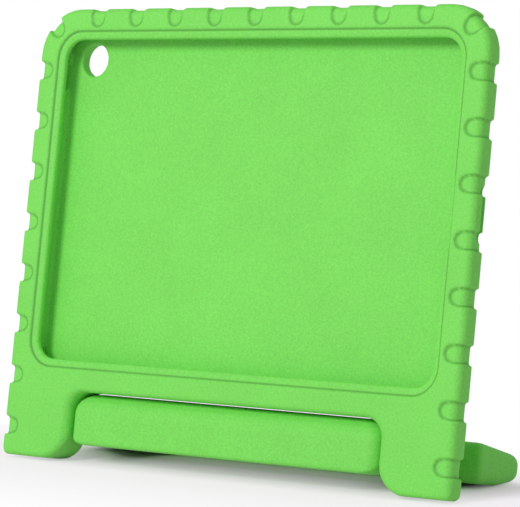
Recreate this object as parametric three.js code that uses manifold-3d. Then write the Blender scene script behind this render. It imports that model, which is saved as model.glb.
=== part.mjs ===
// Children's foam case for a 10-inch tablet, standing on its two feet and on its swing-out handle.
// Millimetres, +X to the viewer's right, +Y to the back, +Z up, floor at Z = 0.
//
// The case is drawn upright in its own flat frame and leaned back as a whole:
//   u across, v up from the sole of the feet, n backwards from the front face.
// The handle is drawn about its hinge axis: x across, s backwards, h up.
import * as THREE from 'three';
import { mergeVertices } from 'three/addons/utils/BufferGeometryUtils.js';
import Module from 'manifold-3d';

// Tablet that the pocket takes
const tabletWidth = 250.6;
const tabletHeight = 174.1;
const tabletThickness = 7.5;
const tabletCornerRadius = 10;
const pocketClearance = 0.4;

// Case body
const leanAngle = THREE.MathUtils.degToRad(9);
const sideRimWidth = 12.35;
const topRimWidth = 11.05;
const chinHeight = 10.95;
const backThickness = 7.1;
const topCornerRadius = 24;
const soleCornerRadius = 3.5;
const frontEdgeRadius = 3.6;
const sideWallDepth = 8.5;
const backCrownInset = 28;
const soleEdgeRadius = 2.4;
const soleFlatWidth = 2.1;
const floorPress = 0.25;

// Lip that holds the tablet from the front
const lipDepth = 5;
const lipStep = 1.0;
const lipStepRun = 0.4;
const lipEdgeDepth = 1.6;
const lipEdgeRun = 1.8;
const lipOverlapSide = 3.85;
const lipOverlapTop = 4.6;
const openingCornerRadius = 10;
const creaseMarginSide = 3.8;
const creaseMarginTop = 4.2;
const buttonReliefDepth = 2.9;
const buttonReliefHalf = 16;
const buttonReliefRamp = 8;

// Back panel
const backRecessDepth = 2;
const backRecessMargin = 22;
const backRecessDraft = 2;

// Ports, cut through the walls
const portLength = 27;
const portWidth = 6;
const portFromTabletFace = 4.6;
const keyCutLength = 16;
const volumeCutLength = 30;
const cameraRadius = 8.5;
const cameraFromSide = 15;
const cameraFromTop = 14;
const keyFromTop = 22;
const volumeFromSide = 46;

// Finger notches around the rim
const notchWidth = 9.4;
const notchLength = 10.5;
const notchFrontDepth = 1.2;
const notchSideDepth = 1.6;
const notchTopDepth = 0.8;
const sideNotchPitch = 26.4;
const topSideNotchDrop = 32.2;
const topNotchPitch = 25.2;

// Slot between the feet, where the handle's bar turns
const footWidth = 42.45;
const barHeadroom = 0.55;
const slotCornerRadius = 9.5;
const slotSideEdgeRadius = 5;
const slotCeilingEdgeRadius = 2.6;
const footCurveWidth = 18;
const footCurveHeight = 14;
const footCurveDrop = 0.5;

// Hinge
const hingeDepth = 13;
const hingeHeight = 20.6;
const pinRadius = 2.6;
const pinSeat = 12;
const pinClearance = 0.3;
const handleSideGap = 0.8;

// Handle
const barRecess = 1.4;
const barTop = 13.95;
const barBottom = 12.2;
const barTopEdgeRadius = 10.5;
const barCornerRadius = 7;
const barEndTopRadius = 8.6;
const barEndBottomRadius = 7;
const handleTopEdgeRadius = 5;
const handleBottomEdgeRadius = 4.5;
const barBottomEdgeRadius = 2;
const topFlatEnd = 12;
const handleLength = 74.5;
const shoulderTop = 8.2;
const handleEndTop = 2.5;
const shoulderOverhang = 28.35;
const filletClearance = 8;
const shoulderDrop = 19.5;
const shoulderFilletWidth = 18;
const shoulderCornerRadius = 2.5;
const endCornerRadius = 9;
const restLength = 6;
const endLift = 0.6;
const handleArmWidth = 20.8;
const handHoleStart = 14;
const gripDepth = 27;
const handHoleCornerRadius = 12;
const handHoleEdgeRadius = 3.5;

// Smoothness of the rounded stretches
const cornerSteps = 8;
const edgeSteps = 5;
const overshoot = 6;

const foamGreen = new THREE.MeshStandardMaterial({ name: 'foam_green', color: 0x7ddf61, roughness: 0.85, metalness: 0 });
const handleGreen = new THREE.MeshStandardMaterial({ name: 'foam_green_handle', color: 0x7bdc60, roughness: 0.85, metalness: 0 });
const pinPlastic = new THREE.MeshStandardMaterial({ name: 'pin_plastic', color: 0x3a3d3a, roughness: 0.5, metalness: 0 });

const wasm = await Module();
wasm.setup();

// Values worked out from the sizes above
const pocketHalfWidth = tabletWidth / 2 + pocketClearance;
const pocketHalfHeight = tabletHeight / 2 + pocketClearance;
const pocketBack = lipDepth + tabletThickness + pocketClearance;
const halfWidth = pocketHalfWidth + sideRimWidth;
const caseDepth = pocketBack + backThickness;
const barFront = hingeDepth - barRecess;
const slotHalfWidth = halfWidth - footWidth;
const slotCeiling = hingeHeight + barTop + barHeadroom;
const tabletCentreHeight = slotCeiling + chinHeight + pocketHalfHeight;
const caseHeight = tabletCentreHeight + pocketHalfHeight + topRimWidth;
const topSideNotchHeight = caseHeight - topSideNotchDrop;
const sideNotchCount = Math.floor((topSideNotchHeight - notchWidth * 1.2) / sideNotchPitch) + 1;
const topNotchCount = 2 * Math.floor((halfWidth - topCornerRadius - notchWidth / 2) / topNotchPitch) + 1;
const portDepth = lipDepth + portFromTabletFace;
const openingHalfWidth = tabletWidth / 2 - lipOverlapSide;
const openingHalfHeight = tabletHeight / 2 - lipOverlapTop;
const creaseHalfWidth = openingHalfWidth + creaseMarginSide;
const creaseHalfHeight = openingHalfHeight + creaseMarginTop;
const creaseCornerRadius = openingCornerRadius + creaseMarginTop;
const barHalfWidth = slotHalfWidth - handleSideGap;
const handleHalfWidth = slotHalfWidth + shoulderOverhang;
const handHoleHalfWidth = barHalfWidth - handleArmWidth;
const shoulderFilletStart = caseDepth - hingeDepth + filletClearance;
const shoulderStart = shoulderFilletStart + shoulderDrop;
const handHoleEnd = handleLength - gripDepth;

/** A three.js geometry of a closed mesh as a solid that can be cut and joined. */
function toSolid(geometry) {
  const bare = geometry.clone();
  bare.deleteAttribute('normal');
  bare.deleteAttribute('uv');
  const merged = mergeVertices(bare, 1e-4);
  const mesh = new wasm.Mesh({
    numProp: 3,
    vertProperties: new Float32Array(merged.attributes.position.array),
    triVerts: new Uint32Array(merged.index.array),
  });
  return new wasm.Manifold(mesh);
}

/** A solid back as a three.js geometry. */
function toGeometry(solid) {
  const mesh = solid.getMesh();
  const geometry = new THREE.BufferGeometry();
  geometry.setAttribute('position', new THREE.BufferAttribute(new Float32Array(mesh.vertProperties), 3));
  geometry.setIndex(new THREE.BufferAttribute(new Uint32Array(mesh.triVerts), 1));
  const flat = geometry.toNonIndexed();
  flat.computeVertexNormals();
  return flat;
}

/** The faces between two rings of points, [start of ring, start of next ring]. */
function wallFaces(ringStart, nextStart, count) {
  const faces = [];
  for (let i = 0; i < count; i += 1) {
    const j = (i + 1) % count;
    faces.push(ringStart + i, ringStart + j, nextStart + j);
    faces.push(ringStart + i, nextStart + j, nextStart + i);
  }
  return faces;
}

/** Points and faces as a solid, turned the right way out. */
function meshSolid(points, faces) {
  const a = new THREE.Vector3();
  const b = new THREE.Vector3();
  const c = new THREE.Vector3();
  let volume = 0;
  for (let i = 0; i < faces.length; i += 3) {
    a.copy(points[faces[i]]);
    b.copy(points[faces[i + 1]]);
    c.copy(points[faces[i + 2]]);
    volume += a.dot(b.cross(c));
  }
  const order = volume > 0 ? faces : faces.slice().reverse();
  const geometry = new THREE.BufferGeometry();
  geometry.setFromPoints(points);
  geometry.setIndex(order);
  return toSolid(geometry);
}

/** A solid through a stack of flat outlines, each { depth, outline: [[u, v], ...] }, all alike in count. */
function loft(levels) {
  const count = levels[0].outline.length;
  const points = levels.flatMap(({ depth, outline }) => outline.map(([u, v]) => new THREE.Vector3(u, depth, v)));
  const faces = [];
  for (let k = 0; k + 1 < levels.length; k += 1) faces.push(...wallFaces(k * count, (k + 1) * count, count));
  const cap = (level, reverse) => {
    const contour = levels[level].outline.map(([u, v]) => new THREE.Vector2(u, v));
    for (const [i, j, k] of THREE.ShapeUtils.triangulateShape(contour, [])) {
      const start = level * count;
      faces.push(...(reverse ? [start + k, start + j, start + i] : [start + i, start + j, start + k]));
    }
  };
  cap(0, true);
  cap(levels.length - 1, false);
  return meshSolid(points, faces);
}

/** Points of an elliptical arc about a centre, from one angle to another in degrees. */
function arc(centreX, centreY, radiusX, radiusY, from, to, steps = cornerSteps) {
  return Array.from({ length: steps + 1 }, (_, i) => {
    const angle = THREE.MathUtils.degToRad(from + ((to - from) * i) / steps);
    return [centreX + radiusX * Math.cos(angle), centreY + radiusY * Math.sin(angle)];
  });
}

/** A rounded rectangle, anticlockwise from the lower right, with its own radius at the top and the bottom. */
function roundedBox(half, bottom, top, topRadius, bottomRadius) {
  const upper = Math.max(topRadius, 0.5);
  const lower = Math.max(bottomRadius, 0.5);
  return [
    ...arc(half - lower, bottom + lower, lower, lower, -90, 0),
    ...arc(half - upper, top - upper, upper, upper, 0, 90),
    ...arc(-half + upper, top - upper, upper, upper, 90, 180),
    ...arc(-half + lower, bottom + lower, lower, lower, 180, 270),
  ];
}

/**
 * How the case's outer edge draws in from front to back, as [inset, depth] pairs: a small round at the front,
 * a straight side wall, and a crowned back that runs on from it.
 */
function rimProfile(edgeRadius, frontDepth, backDepth, sideInset) {
  const profile = Array.from({ length: edgeSteps + 2 }, (_, i) => {
    const turn = (Math.PI / 2) * (i / (edgeSteps + 1));
    return [sideInset + edgeRadius * (1 - Math.sin(turn)), frontDepth + edgeRadius * (1 - Math.cos(turn))];
  });
  const crown = new THREE.CubicBezierCurve(
    new THREE.Vector2(sideInset, sideWallDepth),
    new THREE.Vector2(sideInset, sideWallDepth + (backDepth - sideWallDepth) * 0.6),
    new THREE.Vector2(sideInset + backCrownInset * 0.62, backDepth),
    new THREE.Vector2(sideInset + backCrownInset, backDepth),
  );
  const crownPoints = crown.getPoints(edgeSteps + 3);
  return profile.concat(crownPoints.map((point) => [point.x, point.y]));
}

/** How far the sole and the slot's edges are rounded away at a depth. */
function edgeRelief(depth, frontDepth, backDepth, radius) {
  const fromEdge = Math.min(depth - frontDepth, backDepth - depth);
  if (fromEdge >= radius) return 0;
  const rest = radius - Math.max(fromEdge, 0);
  return radius - Math.sqrt(Math.max(radius * radius - rest * rest, 0));
}

/** The case's outer form, drawn in by the given amounts, which also gives the floor of the notches. */
function caseForm(sideInset, frontInset) {
  const levels = rimProfile(frontEdgeRadius, frontInset, caseDepth - frontInset, sideInset).map(([inset, depth]) => {
    const sole = sideInset + edgeRelief(depth, frontInset, caseDepth - frontInset, soleEdgeRadius);
    const outline = roundedBox(
      halfWidth - inset,
      sole,
      caseHeight - inset,
      topCornerRadius - Math.min(inset, topCornerRadius),
      soleCornerRadius,
    );
    return { depth, outline };
  });
  return loft(levels);
}

/** The slot between the feet, with the feet's inner curves, widened at its sides and at its ceiling. */
function slotOutline(sideRelief, ceilingRelief) {
  const half = slotHalfWidth + sideRelief;
  const ceiling = slotCeiling + ceilingRelief;
  const radius = slotCornerRadius + ceilingRelief;
  const curveCentreX = slotHalfWidth + footCurveWidth;
  const curveCentreY = footCurveHeight;
  const curveX = footCurveWidth - sideRelief;
  const curveY = footCurveHeight + footCurveDrop - ceilingRelief;
  const right = [
    [curveCentreX, -overshoot],
    ...arc(curveCentreX, curveCentreY, curveX, curveY, 268, 180, cornerSteps + 2),
    ...arc(half - radius, ceiling - radius, radius, radius, 0, 90),
  ];
  const left = right.map(([u, v]) => [-u, v]).reverse();
  return [...right, ...left];
}

function slotCutter() {
  const front = Array.from({ length: edgeSteps + 1 }, (_, i) => {
    const depth = slotSideEdgeRadius * (1 - Math.cos((Math.PI / 2) * (i / edgeSteps)));
    const sideRelief = edgeRelief(depth, 0, caseDepth, slotSideEdgeRadius);
    const ceilingRelief = edgeRelief(depth, 0, caseDepth, slotCeilingEdgeRadius);
    return { depth, outline: slotOutline(sideRelief, ceilingRelief) };
  });
  const back = front.map(({ depth, outline }) => ({ depth: caseDepth - depth, outline })).reverse();
  const ahead = { depth: -overshoot, outline: front[0].outline };
  const behind = { depth: caseDepth + overshoot, outline: front[0].outline };
  return loft([ahead, ...front, ...back, behind]);
}

/** The front opening at one level: a rounded rectangle, bulged on the right where the tablet's button is. */
function openingOutline(half, halfTall, radius, relief) {
  const bottom = tabletCentreHeight - halfTall;
  const top = tabletCentreHeight + halfTall;
  const outer = half + relief;
  const bulge = [
    [half, tabletCentreHeight - buttonReliefHalf - buttonReliefRamp],
    [outer, tabletCentreHeight - buttonReliefHalf],
    [outer, tabletCentreHeight + buttonReliefHalf],
    [half, tabletCentreHeight + buttonReliefHalf + buttonReliefRamp],
  ];
  const plain = roundedBox(half, bottom, top, radius, radius);
  const lowerRight = plain.slice(0, cornerSteps + 1);
  const rest = plain.slice(cornerSteps + 1);
  return [...lowerRight, ...bulge, ...rest];
}

function openingCutter() {
  const level = (depth, half, halfTall, radius, relief) => ({
    depth,
    outline: openingOutline(half, halfTall, radius, relief),
  });
  const lip = (depth, margin) => level(
    depth,
    openingHalfWidth + margin,
    openingHalfHeight + margin,
    openingCornerRadius + margin,
    Math.min(buttonReliefDepth, creaseMarginSide - lipStepRun - margin),
  );
  const stepHalf = creaseHalfWidth - lipStepRun;
  const stepHalfTall = creaseHalfHeight - lipStepRun;
  const stepRadius = creaseCornerRadius - lipStepRun;
  return loft([
    level(-overshoot, creaseHalfWidth, creaseHalfHeight, creaseCornerRadius, 0),
    level(0, creaseHalfWidth, creaseHalfHeight, creaseCornerRadius, 0),
    level(lipStep, stepHalf, stepHalfTall, stepRadius, 0),
    lip(lipEdgeDepth, lipEdgeRun),
    lip(lipEdgeDepth + 0.35, lipEdgeRun * 0.45),
    lip(lipEdgeDepth + 0.85, lipEdgeRun * 0.12),
    lip(lipDepth, 0),
    lip(lipDepth + overshoot / 2, 0),
  ]);
}

function pocketCutter() {
  const outline = roundedBox(
    pocketHalfWidth,
    tabletCentreHeight - pocketHalfHeight,
    tabletCentreHeight + pocketHalfHeight,
    tabletCornerRadius,
    tabletCornerRadius,
  );
  return loft([{ depth: lipDepth, outline }, { depth: pocketBack, outline }]);
}

/** The shallow panel sunk into the back. */
function backRecessCutter() {
  const outline = (grow) => roundedBox(
    pocketHalfWidth - backRecessMargin + grow,
    tabletCentreHeight - pocketHalfHeight + backRecessMargin - grow,
    tabletCentreHeight + pocketHalfHeight - backRecessMargin + grow,
    tabletCornerRadius + grow,
    tabletCornerRadius + grow,
  );
  return loft([
    { depth: caseDepth - backRecessDepth, outline: outline(0) },
    { depth: caseDepth, outline: outline(backRecessDraft) },
    { depth: caseDepth + overshoot, outline: outline(backRecessDraft) },
  ]);
}

/** A straight slot with round ends: along the wall by length, through it by reach. */
function slotBar(length, width, reach) {
  const shape = new THREE.Shape();
  const straight = Math.max(length / 2 - width / 2, 0);
  const outline = [
    ...arc(straight, 0, width / 2, width / 2, -90, 90),
    ...arc(-straight, 0, width / 2, width / 2, 90, 270),
  ];
  shape.setFromPoints(outline.map(([x, y]) => new THREE.Vector2(x, y)));
  const geometry = new THREE.ExtrudeGeometry(shape, { depth: reach, bevelEnabled: false });
  return geometry.translate(0, 0, -reach / 2);
}

/** The cut-outs for the tablet's socket, keys and camera. */
function portCutters() {
  const wall = halfWidth - pocketHalfWidth + overshoot;
  const sideReach = wall * 2;
  const sideSlot = (side, height, length, width) => toSolid(
    slotBar(length, width, sideReach)
      .rotateY(Math.PI / 2)
      .translate(side * halfWidth, portDepth, height),
  );
  const pocketTop = tabletCentreHeight + pocketHalfHeight;
  const topWall = (caseHeight - pocketTop + overshoot) * 2;
  const volume = toSolid(
    slotBar(volumeCutLength, portWidth, topWall)
      .translate(-pocketHalfWidth + volumeFromSide, portDepth, caseHeight),
  );
  const camera = toSolid(
    new THREE.CylinderGeometry(cameraRadius, cameraRadius, caseDepth, cornerSteps * 4)
      .translate(-pocketHalfWidth + cameraFromSide, pocketBack + caseDepth / 2 - 1, pocketTop - cameraFromTop),
  );
  return [
    sideSlot(1, tabletCentreHeight, portLength, portWidth),
    sideSlot(-1, pocketTop - keyFromTop, keyCutLength, portWidth),
    volume,
    camera,
  ];
}

/** One notch's footprint: a bar with a round inner end, which runs out past the rim. */
function notchBar(u, v, direction) {
  const half = notchWidth / 2;
  const shape = new THREE.Shape();
  const outline = [
    ...arc(-(notchLength - half), 0, half, half, 90, 270),
    [overshoot, -half],
    [overshoot, half],
  ];
  shape.setFromPoints(outline.map(([x, y]) => new THREE.Vector2(x, y)));
  const depth = caseDepth + 2 * overshoot;
  const geometry = new THREE.ExtrudeGeometry(shape, { depth, bevelEnabled: false })
    .rotateX(Math.PI / 2)
    .translate(0, caseDepth + overshoot, 0)
    .rotateY(-direction)
    .translate(u, 0, v);
  return toSolid(geometry);
}

/** Where the notches sit on the rim, each { u, v, direction } with the direction pointing outwards. */
function notchPlaces() {
  const places = [];
  for (let i = 0; i < sideNotchCount; i += 1) {
    const v = topSideNotchHeight - i * sideNotchPitch;
    places.push({ u: halfWidth, v, direction: 0 });
    places.push({ u: -halfWidth, v, direction: Math.PI });
  }
  for (let i = 0; i < topNotchCount; i += 1) {
    const u = (i - (topNotchCount - 1) / 2) * topNotchPitch;
    places.push({ u, v: caseHeight, direction: Math.PI / 2 });
  }
  const cornerPoint = topCornerRadius * (1 - Math.SQRT1_2);
  for (const side of [1, -1]) {
    places.push({
      u: side * (halfWidth - cornerPoint),
      v: caseHeight - cornerPoint,
      direction: side > 0 ? Math.PI / 4 : (3 * Math.PI) / 4,
    });
  }
  return places;
}

/** A round bar along X between two places, about the hinge axis in the case's frame. */
function axisBar(radius, from, to) {
  return new THREE.CylinderGeometry(radius, radius, to - from, cornerSteps * 3)
    .rotateZ(Math.PI / 2)
    .translate((from + to) / 2, hingeDepth, hingeHeight);
}

/** Where a point of the case's flat frame comes out once the case leans back. */
function leaned(depth, height) {
  return {
    y: depth * Math.cos(leanAngle) + height * Math.sin(leanAngle),
    z: height * Math.cos(leanAngle) - depth * Math.sin(leanAngle),
  };
}

// The feet stand on their back lower edges, pressed flat where they meet the floor.
const footContactDepth = caseDepth - soleEdgeRadius - soleFlatWidth;
const soleLift = -leaned(footContactDepth, 0).z - floorPress;
const hinge = leaned(hingeDepth, hingeHeight);
const hingeZ = hinge.z + soleLift;
const restStart = (hingeZ - barBottom * Math.cos(leanAngle)) / Math.sin(leanAngle);
const restEnd = restStart + restLength;

/** What lies under the floor, in the case's flat frame. */
function underFloor() {
  const size = 6 * halfWidth;
  const block = new THREE.BoxGeometry(size, size, size)
    .translate(0, 0, -size / 2 - soleLift)
    .rotateX(leanAngle);
  return toSolid(block);
}

function buildShell() {
  const outer = caseForm(0, 0);
  const sideFloor = caseForm(notchSideDepth, notchFrontDepth);
  const topFloor = caseForm(notchTopDepth, notchFrontDepth);
  let shell = outer;
  for (const { u, v, direction } of notchPlaces()) {
    const floor = direction === Math.PI / 2 ? topFloor : sideFloor;
    shell = shell.subtract(notchBar(u, v, direction).subtract(floor));
  }
  shell = shell.subtract(slotCutter());
  shell = shell.subtract(openingCutter());
  shell = shell.subtract(pocketCutter());
  shell = shell.subtract(backRecessCutter());
  for (const cutter of portCutters()) shell = shell.subtract(cutter);
  const boreEnd = slotHalfWidth + pinSeat + pinClearance;
  for (const side of [1, -1]) {
    const bore = axisBar(pinRadius + pinClearance, slotHalfWidth - 1, boreEnd).scale(side, 1, 1);
    if (side < 0) bore.index.array.reverse();
    shell = shell.subtract(toSolid(bore));
  }
  return shell.subtract(underFloor());
}

/** The handle's right-hand edge seen from above, front to back, with the outward direction at each place. */
function handleEdge() {
  const edge = [];
  const addArc = (points, centreX, centreS, sign) => {
    for (const [x, s] of points) {
      const length = Math.hypot(x - centreX, s - centreS);
      edge.push({ x, s, outX: (sign * (x - centreX)) / length, outS: (sign * (s - centreS)) / length });
    }
  };
  const cornerX = barHalfWidth - barCornerRadius;
  const cornerS = barCornerRadius - barFront;
  addArc(arc(cornerX, cornerS, barCornerRadius, barCornerRadius, -90, 0), cornerX, cornerS, 1);
  for (const place of edge) place.corner = true;
  for (const s of [topFlatEnd / 2, topFlatEnd]) edge.push({ x: barHalfWidth, s, outX: 1, outS: 0 });
  const filletX = barHalfWidth + shoulderFilletWidth;
  for (const [x, s] of arc(filletX, shoulderFilletStart, shoulderFilletWidth, shoulderDrop, 180, 95, cornerSteps + 2)) {
    const outX = (filletX - x) / (shoulderFilletWidth * shoulderFilletWidth);
    const outS = -(s - shoulderFilletStart) / (shoulderDrop * shoulderDrop);
    const length = Math.hypot(outX, outS);
    edge.push({ x, s, outX: outX / length, outS: outS / length });
  }
  const shoulderX = handleHalfWidth - shoulderCornerRadius;
  const shoulderS = shoulderStart + shoulderCornerRadius;
  const shoulder = edge.length;
  addArc(arc(shoulderX, shoulderS, shoulderCornerRadius, shoulderCornerRadius, -85, 0), shoulderX, shoulderS, 1);
  for (const place of edge.slice(shoulder)) place.corner = true;
  for (const s of [restStart, restEnd]) edge.push({ x: handleHalfWidth, s, outX: 1, outS: 0 });
  const endX = handleHalfWidth - endCornerRadius;
  const endS = handleLength - endCornerRadius;
  addArc(arc(endX, endS, endCornerRadius, endCornerRadius, 0, 90, cornerSteps + 2), endX, endS, 1);
  return edge;
}

/** Height of the handle's top face above the hinge axis: flat over the bar, falling to the lugs, then gently on. */
function handleTop(s) {
  const fall = THREE.MathUtils.clamp((s - topFlatEnd) / (shoulderStart - topFlatEnd), 0, 1);
  const slope = THREE.MathUtils.clamp((s - shoulderStart) / (handleLength - shoulderStart), 0, 1);
  return barTop + (shoulderTop - barTop) * fall + (handleEndTop - shoulderTop) * slope;
}

/** Height of the handle's underside: straight, then flat on the floor, then lifting to its end. */
function handleUnderside(s) {
  const floorLine = (s * Math.sin(leanAngle) - hingeZ) / Math.cos(leanAngle);
  if (floorLine <= -barBottom) return -barBottom;
  if (s <= restEnd) return floorLine;
  const past = (s - restEnd) / (handleLength - restEnd);
  return floorLine + endLift * past * past;
}

/** How round the edges are: full at the bar's ends and its upper front, crisp at its lower front, finer behind. */
function edgeRadii({ outS, s }, upper) {
  const facingFront = s < 0 ? Math.max(-outS, 0) : 0;
  const past = (s - topFlatEnd / 2) / (shoulderFilletStart - topFlatEnd / 2);
  const alongBar = 1 - THREE.MathUtils.clamp(past, 0, 1);
  const rear = upper ? handleTopEdgeRadius : handleBottomEdgeRadius;
  const end = upper ? barEndTopRadius : barEndBottomRadius;
  const limit = (handleTop(s) - handleUnderside(s)) * (upper ? 0.48 : 0.44);
  const side = Math.min(THREE.MathUtils.lerp(rear, end, alongBar), limit);
  const barFrontRadius = upper ? barTopEdgeRadius : barBottomEdgeRadius;
  const front = s < 0 ? barFrontRadius : side;
  return { side, front, blend: THREE.MathUtils.lerp(side, front, facingFront) };
}

/** A slab with rounded edges whose top and underside follow the handle's side view. */
function handleSlab() {
  const edge = handleEdge();
  const layers = [];
  for (let i = 0; i <= edgeSteps; i += 1) layers.push({ turn: (Math.PI / 2) * (i / edgeSteps), upper: false });
  for (let i = edgeSteps; i >= 0; i -= 1) layers.push({ turn: (Math.PI / 2) * (i / edgeSteps), upper: true });
  const points = [];
  for (const { turn, upper } of layers) {
    const row = edge.map((place) => {
      const { side, front, blend } = edgeRadii(place, upper);
      const draw = 1 - Math.sin(turn);
      const step = blend * (1 - Math.cos(turn));
      const x = place.x - (place.corner ? side : place.outX * blend) * draw;
      const s = place.s + (place.corner ? front : -place.outS * blend) * draw;
      const h = upper ? handleTop(s) - step : handleUnderside(s) + step;
      return new THREE.Vector3(x, s, h);
    });
    const mirrored = row.map(({ x, y, z }) => new THREE.Vector3(-x, y, z)).reverse();
    points.push(...row, ...mirrored);
  }
  const half = edge.length;
  const count = 2 * half;
  const faces = [];
  for (let k = 0; k + 1 < layers.length; k += 1) faces.push(...wallFaces(k * count, (k + 1) * count, count));
  const cap = (start, reverse) => {
    for (let i = 0; i + 1 < half; i += 1) {
      const right = start + i;
      const left = start + count - 1 - i;
      const pair = [right, right + 1, left, right + 1, left - 1, left];
      faces.push(...(reverse ? pair.reverse() : pair));
    }
  };
  cap(0, true);
  cap((layers.length - 1) * count, false);
  return meshSolid(points, faces);
}

/** The hole that the hand goes through, flared at both faces. */
function handHoleCutter() {
  const outline = (grow) => roundedBox(
    handHoleHalfWidth + grow,
    handHoleStart - grow,
    handHoleEnd + grow,
    handHoleCornerRadius + grow,
    handHoleCornerRadius + grow,
  );
  const rounded = Array.from({ length: edgeSteps + 1 }, (_, i) => {
    const turn = (Math.PI / 2) * (i / edgeSteps);
    return { down: handHoleEdgeRadius * (1 - Math.cos(turn)), grow: handHoleEdgeRadius * (1 - Math.sin(turn)) };
  });
  const ring = (grow, height) => outline(grow).map(([x, s]) => new THREE.Vector3(x, s, height(s)));
  const rings = [
    ring(handHoleEdgeRadius, (s) => handleUnderside(s) - overshoot),
    ...rounded.map(({ down, grow }) => ring(grow, (s) => handleUnderside(s) + down)),
    ...rounded.map(({ down, grow }) => ring(grow, (s) => handleTop(s) - down)).reverse(),
    ring(handHoleEdgeRadius, (s) => handleTop(s) + overshoot),
  ];
  const count = rings[0].length;
  const faces = [];
  for (let k = 0; k + 1 < rings.length; k += 1) faces.push(...wallFaces(k * count, (k + 1) * count, count));
  const contour = rings[0].map(({ x, y }) => new THREE.Vector2(x, y));
  const last = (rings.length - 1) * count;
  for (const [i, j, k] of THREE.ShapeUtils.triangulateShape(contour, [])) {
    faces.push(k, j, i);
    faces.push(last + i, last + j, last + k);
  }
  return meshSolid(rings.flat(), faces);
}

function buildHandle() {
  let handle = handleSlab().subtract(handHoleCutter());
  for (const side of [1, -1]) {
    const bore = new THREE.CylinderGeometry(
      pinRadius + pinClearance,
      pinRadius + pinClearance,
      pinSeat + pinClearance + 1,
      cornerSteps * 3,
    )
      .rotateZ(Math.PI / 2)
      .translate(side * (barHalfWidth - (pinSeat + pinClearance - 1) / 2), 0, 0);
    handle = handle.subtract(toSolid(bore));
  }
  return handle;
}

/** A hinge pin, seated in the foot and in the bar's end. */
function buildPin(side) {
  const profile = [
    [0, -pinSeat],
    [pinRadius, -pinSeat],
    [pinRadius, handleSideGap + pinSeat],
    [0, handleSideGap + pinSeat],
  ].map(([radius, along]) => new THREE.Vector2(radius, along));
  const geometry = new THREE.LatheGeometry(profile, cornerSteps * 3);
  return geometry.rotateZ(side > 0 ? -Math.PI / 2 : Math.PI / 2).translate(side * barHalfWidth, 0, 0);
}

/** A named mesh of a geometry in its material. */
function piece(name, geometry, material) {
  const mesh = new THREE.Mesh(geometry, material);
  mesh.name = name;
  return mesh;
}

const leanGroup = new THREE.Group();
leanGroup.rotation.x = -leanAngle;
leanGroup.add(piece('case_shell', toGeometry(buildShell()), foamGreen));

const hingeGroup = new THREE.Group();
hingeGroup.position.set(0, hingeDepth, hingeHeight);
hingeGroup.add(piece('handle', toGeometry(buildHandle()), handleGreen));
hingeGroup.add(piece('hinge_pin_right', toGeometry(toSolid(buildPin(1))), pinPlastic));
hingeGroup.add(piece('hinge_pin_left', toGeometry(toSolid(buildPin(-1))), pinPlastic));
leanGroup.add(hingeGroup);

// The origin lies on the floor under the middle of the standing case.
const standingCase = new THREE.Group();
standingCase.add(leanGroup);
leanGroup.position.set(0, 0, soleLift);
const box = new THREE.Box3().setFromObject(standingCase, true);
leanGroup.position.y = -(box.min.y + box.max.y) / 2;

export default standingCase;
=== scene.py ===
import math

import bmesh
import bpy
import numpy as np
from mathutils import Matrix, Vector


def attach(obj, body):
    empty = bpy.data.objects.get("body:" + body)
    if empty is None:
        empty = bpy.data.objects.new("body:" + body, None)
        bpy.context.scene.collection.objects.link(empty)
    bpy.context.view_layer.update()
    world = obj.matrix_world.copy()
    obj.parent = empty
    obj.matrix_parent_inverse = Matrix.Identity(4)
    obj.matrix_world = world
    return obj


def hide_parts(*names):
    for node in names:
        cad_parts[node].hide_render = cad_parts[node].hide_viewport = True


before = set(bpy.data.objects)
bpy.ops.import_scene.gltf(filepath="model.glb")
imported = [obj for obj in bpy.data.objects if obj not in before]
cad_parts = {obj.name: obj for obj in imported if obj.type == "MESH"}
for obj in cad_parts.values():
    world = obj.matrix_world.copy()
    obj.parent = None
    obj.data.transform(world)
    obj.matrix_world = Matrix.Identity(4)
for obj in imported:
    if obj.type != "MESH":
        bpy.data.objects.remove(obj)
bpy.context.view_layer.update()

bl_info = {
    "name": "Foam tablet case",
    "version": (1, 0, 0),
    "blender": (4, 5, 0),
    "location": "View3D > Sidebar > Foam case",
    "description": "Moulds and finishes a green foam tablet case that stands on feet and handle",
    "category": "Object",
}

# The case leans back by this angle. Its own flat frame has the width along X, the depth behind the
# front face along Y and the height above the pocket's centre along Z.
LEAN = math.radians(9)
CASE_HEIGHT = 0.232
POCKET_CENTRE = 0.1335

# The crease is a rounded rectangle about the pocket's centre. It is pressed only into what lies
# near the front face. The reaches are shares of its width, for the press and for its painted shade.
CREASE_HALF = (0.12525, 0.08665)
CREASE_RADIUS = 0.0142
CREASE_FACE_DEPTH = 0.0022
CREASE_FACE_FADE = 0.0008
CREASE_PRESS_REACH = 0.5
CREASE_SHADE_REACH = 0.62
# The crease's painted shade is the foam's colour darkened to this share.
CREASE_PAINTED_SHADE_TONE = 0.35
PASSES_AFTER_CREASE = 2

# The foam takes painted shade where it bends inwards by more than the start, fully one span later.
# A bend is how far a vertex lies below its neighbours' middle, over their mean distance.
CREVICE_ATTRIBUTE = "crevice"
CREVICE_START = 0.015
CREVICE_SPAN = 0.06
CREVICE_BLURS = 3
# The crevices' painted shade is the foam's colour darkened to this share.
CREVICE_PAINTED_SHADE_TONE = 0.4

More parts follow.
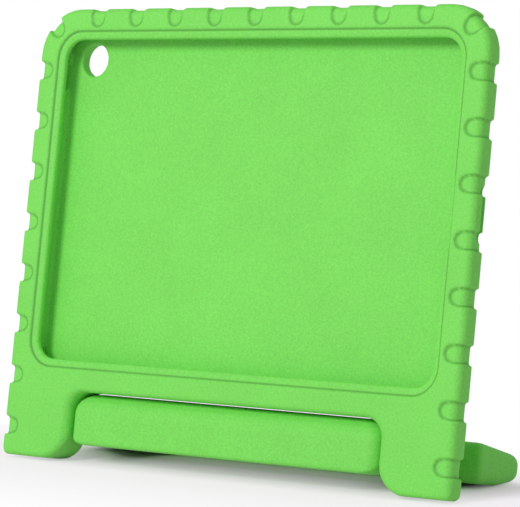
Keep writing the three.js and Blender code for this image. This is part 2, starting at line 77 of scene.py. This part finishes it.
# The foam's pattern is a mix of cells, pits and wide clouds, between a darker and a lighter tone.
# Cells and pits also change its height and its roughness. Noise varies about its own middle.
# The pits are this many cells apart. The handle's pattern is shifted against the case's.
PIT_SPACING = 1.7
PIT_FALL = 3.2
CLOUD_SIZE = 0.035
CELL_WEIGHT = 1.1
CLOUD_WEIGHT = 0.35
PIT_WEIGHT = 0.15
MIDDLE_TONE = 0.44
CELL_HEIGHT = 0.6
PIT_DEPTH = 0.5
CELL_ROUGHNESS = 0.25
PIT_ROUGHNESS = -0.12
NOISE_MIDDLE = 0.5
FOAM_TONES = (0.8, 1.22)
FOAM_BUMP = {"Strength": 0.4, "Distance": 0.0005}
FOAM_GLOSS = {"Specular IOR Level": 0.35, "IOR": 1.45}
HANDLE_PATTERN_SHIFT = (0.05, 0.01, 0.02)

PIN_GRAIN = 0.0006
PIN_SCUFFS = 0.004
PIN_TONES = (0.9, 1.6)
PIN_ROUGHNESS = 0.38
SCUFF_START = 0.35
SCUFF_ROUGHNESS = 0.2
PIN_BUMP = {"Strength": 0.2, "Distance": 0.0001}

MERGE_DISTANCE = 1e-6

FLOOR_HALF = 12.0

# The floor keeps its whole shadow within the core, less of it over the near span, and none past the
# far span. Distances are taken from a line under the case that ends at the half width on each side,
# and count this much more behind the line.
SHADOW_HALF_WIDTH = 0.09
SHADOW_MIDDLE = 0.02
SHADOW_BEHIND = 2.0
SHADOW_CORE = 0.02
SHADOW_NEAR_SPAN = 0.05
SHADOW_FAR_START = 0.08
SHADOW_FAR_SPAN = 0.12

KEY_PLACE = (-0.35, -2.2, 1.3)
KEY_AIM = (0.0, -0.02, 0.1)
KEY_SIZE = 0.8
CAMERA_PLACE = (0.85675, -1.14767, 0.2023)
CAMERA_DIRECTION = (-0.599, 0.799, -0.0654)
SENSOR_WIDTH = 36.0
CAMERA_REACH = 50.0
WHITE = (1.0, 1.0, 1.0, 1.0)


class FoamMoulding(bpy.types.PropertyGroup):
    """How the foam pieces take their soft moulded form."""

    detail: bpy.props.FloatProperty(
        name="Moulding detail",
        description="Size of the smallest form that the moulded foam keeps",
        default=0.0006, min=0.0004, max=0.003, precision=5, unit="LENGTH",
    )
    softening: bpy.props.IntProperty(
        name="Softening",
        description="Passes that round the foam's edges, a little each",
        default=2, min=0, max=20,
    )
    faces: bpy.props.IntProperty(
        name="Faces",
        description="Most triangles that a foam piece keeps",
        default=165000, min=10000, max=190000,
    )
    crease_depth: bpy.props.FloatProperty(
        name="Crease depth",
        description="Depth of the crease that runs round the opening",
        default=0.0009, min=0.0, max=0.002, precision=5, unit="LENGTH",
    )
    crease_width: bpy.props.FloatProperty(
        name="Crease width",
        description="Width of the crease that runs round the opening",
        default=0.0013, min=0.0005, max=0.004, precision=5, unit="LENGTH",
    )
    handle_swell: bpy.props.FloatProperty(
        name="Handle swell",
        description="How far the handle's skin stands up, which narrows the lit gap above its bar",
        default=0.0002, min=0.0, max=0.0005, precision=5, unit="LENGTH",
    )


class FoamFinish(bpy.types.PropertyGroup):
    """Colour and surface of the green foam."""

    colour: bpy.props.FloatVectorProperty(
        name="Foam colour",
        description="Colour of the moulded foam",
        default=(0.199, 0.742, 0.104), size=3, min=0.0, max=1.0, subtype="COLOR",
    )
    # Painted shade along the bottom of the crease, standing in for the groove's shadow.
    crease_painted_shade: bpy.props.FloatProperty(
        name="Crease shade",
        description="How much darker the foam is at the bottom of its crease",
        default=0.7, min=0.0, max=1.0, subtype="FACTOR",
    )
    # Painted shade in the foam's inward bends, standing in for the shadow that gathers there.
    crevice_painted_shade: bpy.props.FloatProperty(
        name="Crevice shade",
        description="How much darker the foam is where its surface bends sharply inwards",
        default=0.55, min=0.0, max=1.0, subtype="FACTOR",
    )
    cell_size: bpy.props.FloatProperty(
        name="Cell size",
        description="Size of the foam's cells, seen as a fine speckle",
        default=0.0011, min=0.0002, max=0.01, precision=5, unit="LENGTH",
    )
    roughness: bpy.props.FloatProperty(
        name="Roughness",
        description="Roughness of the foam's skin",
        default=0.6, min=0.0, max=1.0, subtype="FACTOR",
    )
    pin_colour: bpy.props.FloatVectorProperty(
        name="Pin colour",
        description="Colour of the hinge pins",
        default=(0.045, 0.05, 0.045), size=3, min=0.0, max=1.0, subtype="COLOR",
    )


class StageSettings(bpy.types.PropertyGroup):
    """Floor, light and camera."""

    # The floor's paint is tinted pink to cancel the green light bouncing onto it from the case.
    floor_colour_against_green_bounce: bpy.props.FloatVectorProperty(
        name="Floor colour",
        description="Colour of the floor that the case stands on",
        default=(0.95, 0.78, 0.95), size=3, min=0.0, max=1.0, subtype="COLOR",
    )
    floor_white: bpy.props.FloatProperty(
        name="Floor white",
        description="How far the floor just in front of the case is lifted towards plain white",
        default=0.68, min=0.0, max=1.0, subtype="FACTOR",
    )
    world_light: bpy.props.FloatProperty(
        name="Room light",
        description="Strength of the even light from all round",
        default=0.5, min=0.0, max=4.0,
    )
    key_light: bpy.props.FloatProperty(
        name="Key light",
        description="Power of the large softbox at the front left",
        default=31.0, min=0.0, max=500.0, unit="POWER",
    )
    lens: bpy.props.FloatProperty(
        name="Focal length",
        description="Focal length of the camera, in millimetres",
        default=199.64, min=10.0, max=600.0,
    )


class Socket:
    """A shader socket in an expression, which adds a Math node for each of its operations."""

    def __init__(self, shader, output):
        self.shader = shader
        self.output = output

    def maths(self, operation, *others, clamp=False):
        values = [self, *others]
        return self.shader.node(
            "ShaderNodeMath", {"operation": operation, "use_clamp": clamp}, dict(enumerate(values)),
        )

    def __add__(self, other):
        return self.maths("ADD", other)

    def __mul__(self, other):
        return self.maths("MULTIPLY", other)

    def __sub__(self, other):
        return self.maths("SUBTRACT", other)

    def __truediv__(self, other):
        return self.maths("DIVIDE", other)

    def __rsub__(self, other):
        return (self * -1.0) + other

    __radd__ = __add__
    __rmul__ = __mul__

    def most(self, other):
        return self.maths("MAXIMUM", other)

    def least(self, other):
        return self.maths("MINIMUM", other)

    def size(self):
        return self.maths("ABSOLUTE")

    def clamped(self):
        return self.maths("ADD", 0.0, clamp=True)


class Shader:
    """The node tree of a material or a world under construction."""

    def __init__(self, owner):
        self.owner = owner
        owner.use_nodes = True
        self.tree = owner.node_tree
        self.tree.nodes.clear()

    def node(self, kind, settings=None, inputs=None, output=0):
        """Adds a node with its settings first and then the values or links of its sockets."""
        made = self.tree.nodes.new(kind)
        for key, value in (settings or {}).items():
            setattr(made, key, value)
        for key, value in (inputs or {}).items():
            if isinstance(value, Socket):
                self.tree.links.new(value.output, made.inputs[key])
            else:
                made.inputs[key].default_value = value
        return Socket(self, made.outputs[output]) if made.outputs else made

    def flat_place(self, centre=(0.0, 0.0, 0.0)):
        """Place on the piece in the case's own flat frame, about the given point."""
        coordinates = self.node("ShaderNodeTexCoord", output="Object")
        return self.node("ShaderNodeMapping", {"vector_type": "POINT"}, {
            "Vector": coordinates,
            "Rotation": (LEAN, 0.0, 0.0),
            "Location": tuple(-value for value in centre),
        })

    def parts(self, vector):
        """The three numbers of a vector."""
        split = self.node("ShaderNodeSeparateXYZ", inputs={"Vector": vector})
        return [Socket(self, output) for output in split.output.node.outputs]

    def blend(self, factor, first, second):
        """A colour between two colours."""
        values = {0: factor, 6: first, 7: second}
        return self.node("ShaderNodeMix", {"data_type": "RGBA"}, values, output=2)

    def noise(self, place, size, detail=2.0, roughness=0.5):
        """Soft noise whose blots are about as large as the size."""
        return self.node("ShaderNodeTexNoise", inputs={
            "Vector": place, "Scale": 1.0 / size, "Detail": detail, "Roughness": roughness,
        })

    def bump(self, strengths, height):
        """A normal that follows the height."""
        return self.node("ShaderNodeBump", inputs={**strengths, "Height": height})

    def end(self, surface, ending="ShaderNodeOutputMaterial"):
        """Closes the tree with its surface and returns the material or world."""
        self.node(ending, inputs={"Surface": surface})
        return self.owner


def shade(colour, factor):
    """A colour for a socket, made lighter or darker."""
    return tuple(min(value * factor, 1.0) for value in colour) + (1.0,)


def crease_distance(u, v):
    """Distance of flat-frame points from the crease's rounded outline, for plain arrays."""
    straight_u, straight_v = (half - CREASE_RADIUS for half in CREASE_HALF)
    over_u, over_v = np.abs(u) - straight_u, np.abs(v) - straight_v
    outside = np.hypot(np.maximum(over_u, 0.0), np.maximum(over_v, 0.0))
    inside = np.minimum(np.maximum(over_u, over_v), 0.0)
    return np.abs(outside + inside - CREASE_RADIUS)


def foam_skin(name, finish, moulding, centre, creased):
    """Closed-cell foam: fine speckled cells, with painted shade in its crevices and along its
    crease.
    """
    shader = Shader(bpy.data.materials.new(name))
    place = shader.flat_place(centre)
    cells = shader.noise(place, finish.cell_size, detail=3.0, roughness=0.65)
    clouds = shader.noise(place, CLOUD_SIZE)
    pits = shader.node("ShaderNodeTexVoronoi", {"feature": "F1"}, {
        "Vector": place, "Scale": 1.0 / (finish.cell_size * PIT_SPACING), "Randomness": 1.0,
    }, output="Distance")
    specks = (1.0 - pits * PIT_FALL).clamped()
    mottle = (
        (cells - NOISE_MIDDLE) * CELL_WEIGHT + (clouds - NOISE_MIDDLE) * CLOUD_WEIGHT
        + specks * PIT_WEIGHT + MIDDLE_TONE
    )
    darker, lighter = (shade(finish.colour, tone) for tone in FOAM_TONES)
    colour = shader.blend(mottle.clamped(), darker, lighter)
    # Painted shade where the surface bends inwards, standing in for shadow in crevices.
    bend = shader.node("ShaderNodeAttribute", {"attribute_name": CREVICE_ATTRIBUTE}, output="Fac")
    crevice = ((bend - CREVICE_START) / CREVICE_SPAN).clamped() * finish.crevice_painted_shade
    colour = shader.blend(crevice, colour, shade(finish.colour, CREVICE_PAINTED_SHADE_TONE))
    # Painted shade along the crease's bottom, where the groove would lie in shadow.
    if creased:
        across, depth, up = shader.parts(place)
        over_u = across.size() - (CREASE_HALF[0] - CREASE_RADIUS)
        over_v = up.size() - (CREASE_HALF[1] - CREASE_RADIUS)
        out_u, out_v = over_u.most(0.0), over_v.most(0.0)
        outside = (out_u * out_u + out_v * out_v).maths("SQRT")
        away = (outside + over_u.most(over_v).least(0.0) - CREASE_RADIUS).size()
        line = (1.0 - away / (moulding.crease_width * CREASE_SHADE_REACH)).clamped()
        front = (1.0 - (depth - CREASE_FACE_DEPTH) / CREASE_FACE_FADE).clamped()
        crease = line * front * finish.crease_painted_shade
        colour = shader.blend(crease, colour, shade(finish.colour, CREASE_PAINTED_SHADE_TONE))
    rough = (cells - NOISE_MIDDLE) * CELL_ROUGHNESS + specks * PIT_ROUGHNESS + finish.roughness
    return shader.end(shader.node("ShaderNodeBsdfPrincipled", inputs={
        "Base Color": colour, "Roughness": rough.clamped(),
        "Normal": shader.bump(FOAM_BUMP, cells * CELL_HEIGHT - specks * PIT_DEPTH),
        **FOAM_GLOSS,
    }))


def pin_plastic(finish):
    """Dark moulded plastic with a fine grain."""
    shader = Shader(bpy.data.materials.new("hinge_pin_plastic"))
    place = shader.flat_place()
    grain = shader.noise(place, PIN_GRAIN)
    scuffs = shader.noise(place, PIN_SCUFFS, detail=3.0)
    darker, lighter = (shade(finish.pin_colour, tone) for tone in PIN_TONES)
    return shader.end(shader.node("ShaderNodeBsdfPrincipled", inputs={
        "Base Color": shader.blend((scuffs - SCUFF_START).clamped(), darker, lighter),
        "Roughness": scuffs * SCUFF_ROUGHNESS + PIN_ROUGHNESS,
        "Normal": shader.bump(PIN_BUMP, grain),
    }))


def floor_surface(settings):
    """Pale floor that keeps the case's shadow, deepest under it, and runs out to plain white."""
    shader = Shader(bpy.data.materials.new("pale_floor"))
    across, along, _ = shader.parts(shader.node("ShaderNodeTexCoord", output="Object"))
    across = (across.size() - SHADOW_HALF_WIDTH).most(0.0)
    along = along - SHADOW_MIDDLE
    along = along + along.most(0.0) * SHADOW_BEHIND
    distance = (across * across + along * along).maths("SQRT")
    near = ((distance - SHADOW_CORE) / SHADOW_NEAR_SPAN).clamped()
    far = ((distance - SHADOW_FAR_START) / SHADOW_FAR_SPAN).clamped()
    pale = near * settings.floor_white + far * (1.0 - settings.floor_white)
    seen = shader.node("ShaderNodeLightPath", output="Is Camera Ray")
    glossy = shader.node("ShaderNodeLightPath", output="Is Glossy Ray")
    # Pink-tinted paint, which cancels the case's green bounce light.
    paint = shader.node("ShaderNodeBsdfDiffuse", inputs={"Color": (*settings.floor_colour_against_green_bounce, 1.0)})
    white = shader.node("ShaderNodeEmission", inputs={"Color": WHITE, "Strength": 1.0})
    return shader.end(shader.node("ShaderNodeMixShader", inputs={
        0: pale * seen.most(glossy), 1: paint, 2: white,
    }))


def pale_room(strength):
    """Even white light from all round, with plain white behind all that the camera sees."""
    shader = Shader(bpy.data.worlds.new("pale_room"))
    room = shader.node("ShaderNodeBackground", inputs={"Color": WHITE, "Strength": strength})
    backdrop = shader.node("ShaderNodeBackground", inputs={"Color": WHITE, "Strength": 1.0})
    seen = shader.node("ShaderNodeLightPath", output="Is Camera Ray")
    mixed = shader.node("ShaderNodeMixShader", inputs={0: seen, 1: room, 2: backdrop})
    return shader.end(mixed, ending="ShaderNodeOutputWorld")


def vectors(items, key):
    """One vector of every item, as an array."""
    flat = np.empty(len(items) * 3)
    items.foreach_get(key, flat)
    return flat.reshape(-1, 3)


def mesh_places(mesh):
    """The mesh's vertices as an array."""
    return vectors(mesh.vertices, "co")


def move_vertices(mesh, places):
    """Moves the mesh's vertices to the places."""
    mesh.vertices.foreach_set("co", places.ravel())
    mesh.update()


def with_modifier(mesh, kind, **settings):
    """The mesh with one modifier applied. The mesh that was given is removed."""
    holder = bpy.data.objects.new("moulding", mesh)
    bpy.context.scene.collection.objects.link(holder)
    modifier = holder.modifiers.new("moulding", kind)
    for key, value in settings.items():
        setattr(modifier, key, value)
    depsgraph = bpy.context.evaluated_depsgraph_get()
    made = bpy.data.meshes.new_from_object(holder.evaluated_get(depsgraph))
    bpy.data.objects.remove(holder)
    bpy.data.meshes.remove(mesh)
    return made


def edge_ends(mesh):
    """The two vertices of every edge, as two arrays."""
    ends = np.empty(len(mesh.edges) * 2, dtype=np.int64)
    mesh.edges.foreach_get("vertices", ends)
    return ends.reshape(-1, 2).T


def vertex_sums(ends, count, at_first=None, at_second=None):
    """Sum over the edges that meet at each vertex, or their number where no values are given."""
    first, second = ends
    return np.bincount(first, at_first, count) + np.bincount(second, at_second, count)


def neighbour_mean(ends, values):
    """The mean of each vertex's neighbours, for one or more columns of values."""
    first, second = ends
    count = len(values)
    sums = [vertex_sums(ends, count, column[second], column[first]) for column in values.T]
    return np.stack(sums, axis=1) / vertex_sums(ends, count)[:, None]


def soften(mesh, passes):
    """Rounds the mesh by drawing each vertex halfway to the middle of its neighbours."""
    places = mesh_places(mesh)
    ends = edge_ends(mesh)
    for _ in range(passes):
        places = (places + neighbour_mean(ends, places)) / 2
    move_vertices(mesh, places)


def vertex_normals(mesh):
    """The mesh's vertex normals as an array."""
    return vectors(mesh.vertex_normals, "vector")


def mark_crevices(mesh):
    """Stores how sharply the surface bends inwards at each vertex, for the skin's painted shade."""
    places = mesh_places(mesh)
    ends = edge_ends(mesh)
    first, second = ends
    spans = np.linalg.norm(places[first] - places[second], axis=1)
    reach = vertex_sums(ends, len(places), spans, spans) / vertex_sums(ends, len(places))
    rise = ((neighbour_mean(ends, places) - places) * vertex_normals(mesh)).sum(axis=1)
    bend = (rise / reach)[:, None]
    for _ in range(CREVICE_BLURS):
        bend = (bend + neighbour_mean(ends, bend)) / 2
    stored = mesh.attributes.new(CREVICE_ATTRIBUTE, "FLOAT", "POINT")
    stored.data.foreach_set("value", bend.ravel())


def swell_up(mesh, amount):
    """Moves the surface outwards by the amount where it faces up, and less where it turns away."""
    normals = vertex_normals(mesh)
    move_vertices(mesh, mesh_places(mesh) + normals * normals[:, 2:].clip(0.0, 1.0) * amount)


def upright_copy(node):
    """The CAD node's form as one joined mesh, stood upright in the case's flat frame."""
    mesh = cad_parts[node].data.copy()
    mesh.materials.clear()
    form = bmesh.new()
    form.from_mesh(mesh)
    bmesh.ops.remove_doubles(form, verts=form.verts, dist=MERGE_DISTANCE)
    form.transform(Matrix.Rotation(LEAN, 4, "X"))
    form.to_mesh(mesh)
    form.free()
    return mesh


def flat_origin():
    """The pocket's centre on the case's front plane, in the upright frame."""
    mesh = upright_copy("case_shell")
    places = mesh_places(mesh)
    front, top = places[:, 1].min(), places[:, 2].max()
    bpy.data.meshes.remove(mesh)
    return Vector((0.0, front, top - CASE_HEIGHT + POCKET_CENTRE))


def press_crease(mesh, origin, moulding):
    """Presses the crease round the opening into the front face."""
    places = mesh_places(mesh)
    u, depth, v = (places - np.array(origin)).T
    away = crease_distance(u, v) / (moulding.crease_width * CREASE_PRESS_REACH)
    facing = np.clip(1.0 - (depth - CREASE_FACE_DEPTH) / CREASE_FACE_FADE, 0.0, 1.0)
    places[:, 1] += moulding.crease_depth * np.exp(-away ** 2) * facing
    move_vertices(mesh, places)


def moulded_piece(name, node, body, skin, moulding, creased=False, swell=0.0):
    """A foam piece in the form of its CAD node, with the soft edges of moulded foam."""
    mesh = upright_copy(node)
    detail = moulding.detail * 1.0
    mesh = with_modifier(mesh, "REMESH", mode="VOXEL", voxel_size=detail, adaptivity=0.0)
    soften(mesh, max(moulding.softening - PASSES_AFTER_CREASE, 0))
    if creased:
        press_crease(mesh, flat_origin(), moulding)
    soften(mesh, min(moulding.softening, PASSES_AFTER_CREASE))
    triangles = 2 * len(mesh.polygons)
    if triangles > moulding.faces:
        share = moulding.faces / triangles
        mesh = with_modifier(mesh, "DECIMATE", ratio=share, use_collapse_triangulate=True)
    mark_crevices(mesh)
    if swell:
        swell_up(mesh, swell)
    mesh.transform(Matrix.Rotation(-LEAN, 4, "X"))
    mesh.name = name
    mesh.polygons.foreach_set("use_smooth", [True] * len(mesh.polygons))
    mesh.materials.append(skin)
    piece = bpy.data.objects.new(name, mesh)
    bpy.context.scene.collection.objects.link(piece)
    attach(piece, body)
    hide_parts(node)


class MouldCase(bpy.types.Operator):
    """Mould the case with its rim, notches, crease and feet"""

    bl_idname = "foam_case.mould_case"
    bl_label = "Mould the case"

    def execute(self, context):
        finish, moulding = context.scene.foam_finish, context.scene.foam_moulding
        skin = foam_skin("foam_case_skin", finish, moulding, flat_origin(), creased=True)
        moulded_piece("case_foam", "case_shell", "case", skin, moulding, creased=True)
        return {"FINISHED"}


class MouldHandle(bpy.types.Operator):
    """Mould the handle with its bar, lugs and grip"""

    bl_idname = "foam_case.mould_handle"
    bl_label = "Mould the handle"

    def execute(self, context):
        finish, moulding = context.scene.foam_finish, context.scene.foam_moulding
        skin = foam_skin("foam_handle_skin", finish, moulding, HANDLE_PATTERN_SHIFT, creased=False)
        moulded_piece(
            "handle_foam", "handle", "handle", skin, moulding,
            swell=moulding.handle_swell,
        )
        return {"FINISHED"}


class FinishPins(bpy.types.Operator):
    """Give the hinge pins their moulded plastic"""

    bl_idname = "foam_case.finish_pins"
    bl_label = "Finish the hinge pins"

    def execute(self, context):
        plastic = pin_plastic(context.scene.foam_finish)
        for node in ("hinge_pin_left", "hinge_pin_right"):
            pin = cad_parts[node]
            for place in pin.material_slots:
                place.material = plastic
        return {"FINISHED"}


def placed(name, data, place, direction):
    """An object at its place that looks in the given direction, as a camera or a lamp does."""
    holder = bpy.data.objects.new(name, data)
    holder.location = place
    holder.rotation_euler = direction.to_track_quat("-Z", "Y").to_euler()
    bpy.context.scene.collection.objects.link(holder)
    return holder


def add_floor(settings):
    """The wide pale floor under the case."""
    half = FLOOR_HALF
    mesh = bpy.data.meshes.new("floor")
    corners = [(-half, -half, 0.0), (half, -half, 0.0), (half, half, 0.0), (-half, half, 0.0)]
    mesh.from_pydata(corners, [], [(0, 1, 2, 3)])
    mesh.materials.append(floor_surface(settings))
    floor = bpy.data.objects.new("floor", mesh)
    bpy.context.scene.collection.objects.link(floor)


def add_softbox(settings):
    """The large square softbox at the front left, aimed at the case."""
    lamp = bpy.data.lights.new("key_softbox", "AREA")
    lamp.shape = "SQUARE"
    lamp.size = KEY_SIZE
    lamp.energy = settings.key_light
    placed("key_softbox", lamp, KEY_PLACE, Vector(KEY_AIM) - Vector(KEY_PLACE))


def add_camera(settings):
    """The camera, in front of the case and to its right, looking slightly down."""
    lens = bpy.data.cameras.new("camera")
    lens.sensor_width = SENSOR_WIDTH
    lens.lens = settings.lens
    lens.clip_end = CAMERA_REACH
    return placed("camera", lens, CAMERA_PLACE, Vector(CAMERA_DIRECTION))


class BuildStage(bpy.types.Operator):
    """Lay the floor, hang the lights and set the camera"""

    bl_idname = "foam_case.build_stage"
    bl_label = "Build the stage"

    def execute(self, context):
        scene = context.scene
        add_floor(scene.foam_stage)
        add_softbox(scene.foam_stage)
        scene.world = pale_room(scene.foam_stage.world_light)
        scene.camera = add_camera(scene.foam_stage)
        scene.view_settings.view_transform = "Standard"
        return {"FINISHED"}


class FoamCasePanel(bpy.types.Panel):
    """Sizes, colours and steps of the foam case"""

    bl_idname = "VIEW3D_PT_foam_case"
    bl_label = "Foam tablet case"
    bl_space_type = "VIEW_3D"
    bl_region_type = "UI"
    bl_category = "Foam case"

    def draw(self, context):
        scene = context.scene
        for settings in (scene.foam_moulding, scene.foam_finish, scene.foam_stage):
            column = self.layout.column(align=True)
            for name in settings.__annotations__:
                column.prop(settings, name)
        for step in (MouldCase, MouldHandle, FinishPins, BuildStage):
            self.layout.operator(step.bl_idname)


CLASSES = (
    FoamMoulding, FoamFinish, StageSettings,
    MouldCase, MouldHandle, FinishPins, BuildStage, FoamCasePanel,
)


def register():
    for kind in CLASSES:
        bpy.utils.register_class(kind)
    bpy.types.Scene.foam_moulding = bpy.props.PointerProperty(type=FoamMoulding)
    bpy.types.Scene.foam_finish = bpy.props.PointerProperty(type=FoamFinish)
    bpy.types.Scene.foam_stage = bpy.props.PointerProperty(type=StageSettings)


def unregister():
    del bpy.types.Scene.foam_stage
    del bpy.types.Scene.foam_finish
    del bpy.types.Scene.foam_moulding
    for kind in reversed(CLASSES):
        bpy.utils.unregister_class(kind)


def main():
    register()
    bpy.ops.foam_case.mould_case()
    bpy.ops.foam_case.mould_handle()
    bpy.ops.foam_case.finish_pins()
    bpy.ops.foam_case.build_stage()


if __name__ == "__main__":
    main()
